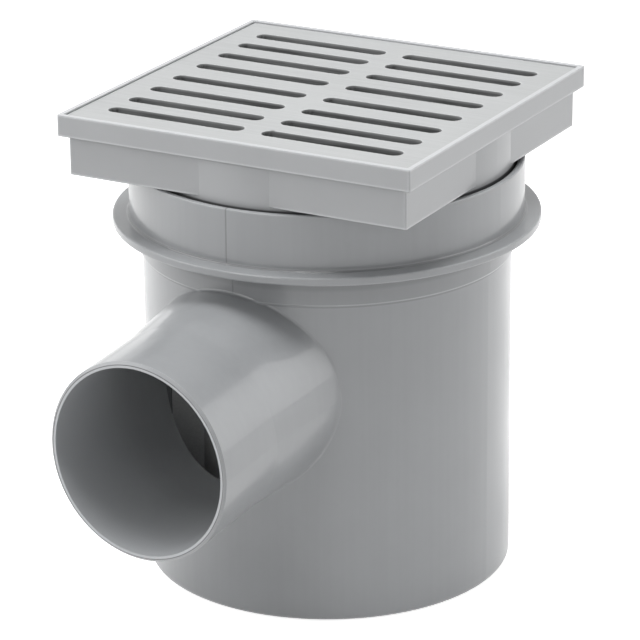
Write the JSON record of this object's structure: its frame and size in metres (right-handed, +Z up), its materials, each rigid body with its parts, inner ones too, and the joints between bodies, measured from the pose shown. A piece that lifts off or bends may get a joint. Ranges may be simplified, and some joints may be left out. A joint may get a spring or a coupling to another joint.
{
  "type": "yard drain",
  "caption": "Moulded yard drain: round pot with a side outlet and flange, square raising frame, slotted grate, lift-out silt bucket and trap baffle.",
  "frame": {"origin": "centre of the pot's base, on the pot's axis", "axes": "+Z up along the pot's axis; the outlet points along -Y and falls slightly toward its mouth; +X to the right when looking into the outlet's mouth"},
  "size_m": [0.2376, 0.3098, 0.2726],
  "materials": {
    "pot_plastic": "satin moulded grey",
    "frame_plastic": "satin moulded grey",
    "grate_plastic": "satin light grey",
    "bucket_plastic": "matte black",
    "baffle_plastic": "satin moulded grey",
    "seal_rubber": "matte",
    "wire_steel": "drawn wire"
  },
  "bodies": {
    "pot": {"pot": "pot_plastic", "trap_baffle": "baffle_plastic", "baffle_gasket": "seal_rubber", "silt_bucket": "bucket_plastic"},
    "spigot_seal": {"spigot_seal": "seal_rubber"},
    "raising_frame": {"raising_frame": "frame_plastic", "grate": "grate_plastic"},
    "bucket_handle": {"bucket_handle": "wire_steel"}
  },
  "joints": [
    {"name": "frame_height", "type": "slide", "parent": "pot", "child": "spigot_seal", "axis": [0, 0, 1], "range_m": [-0.0015, 0.018]},
    {"name": "frame_swivel", "type": "hinge", "parent": "spigot_seal", "child": "raising_frame", "pos_m": [0, 0, 0.2132], "axis": [0, 0, 1], "continuous": true},
    {"name": "bucket_handle", "type": "hinge", "parent": "pot", "child": "bucket_handle", "pos_m": [0, 0, 0.2014], "axis": [1, 0, 0], "range_deg": [0, 180]}
  ]
}
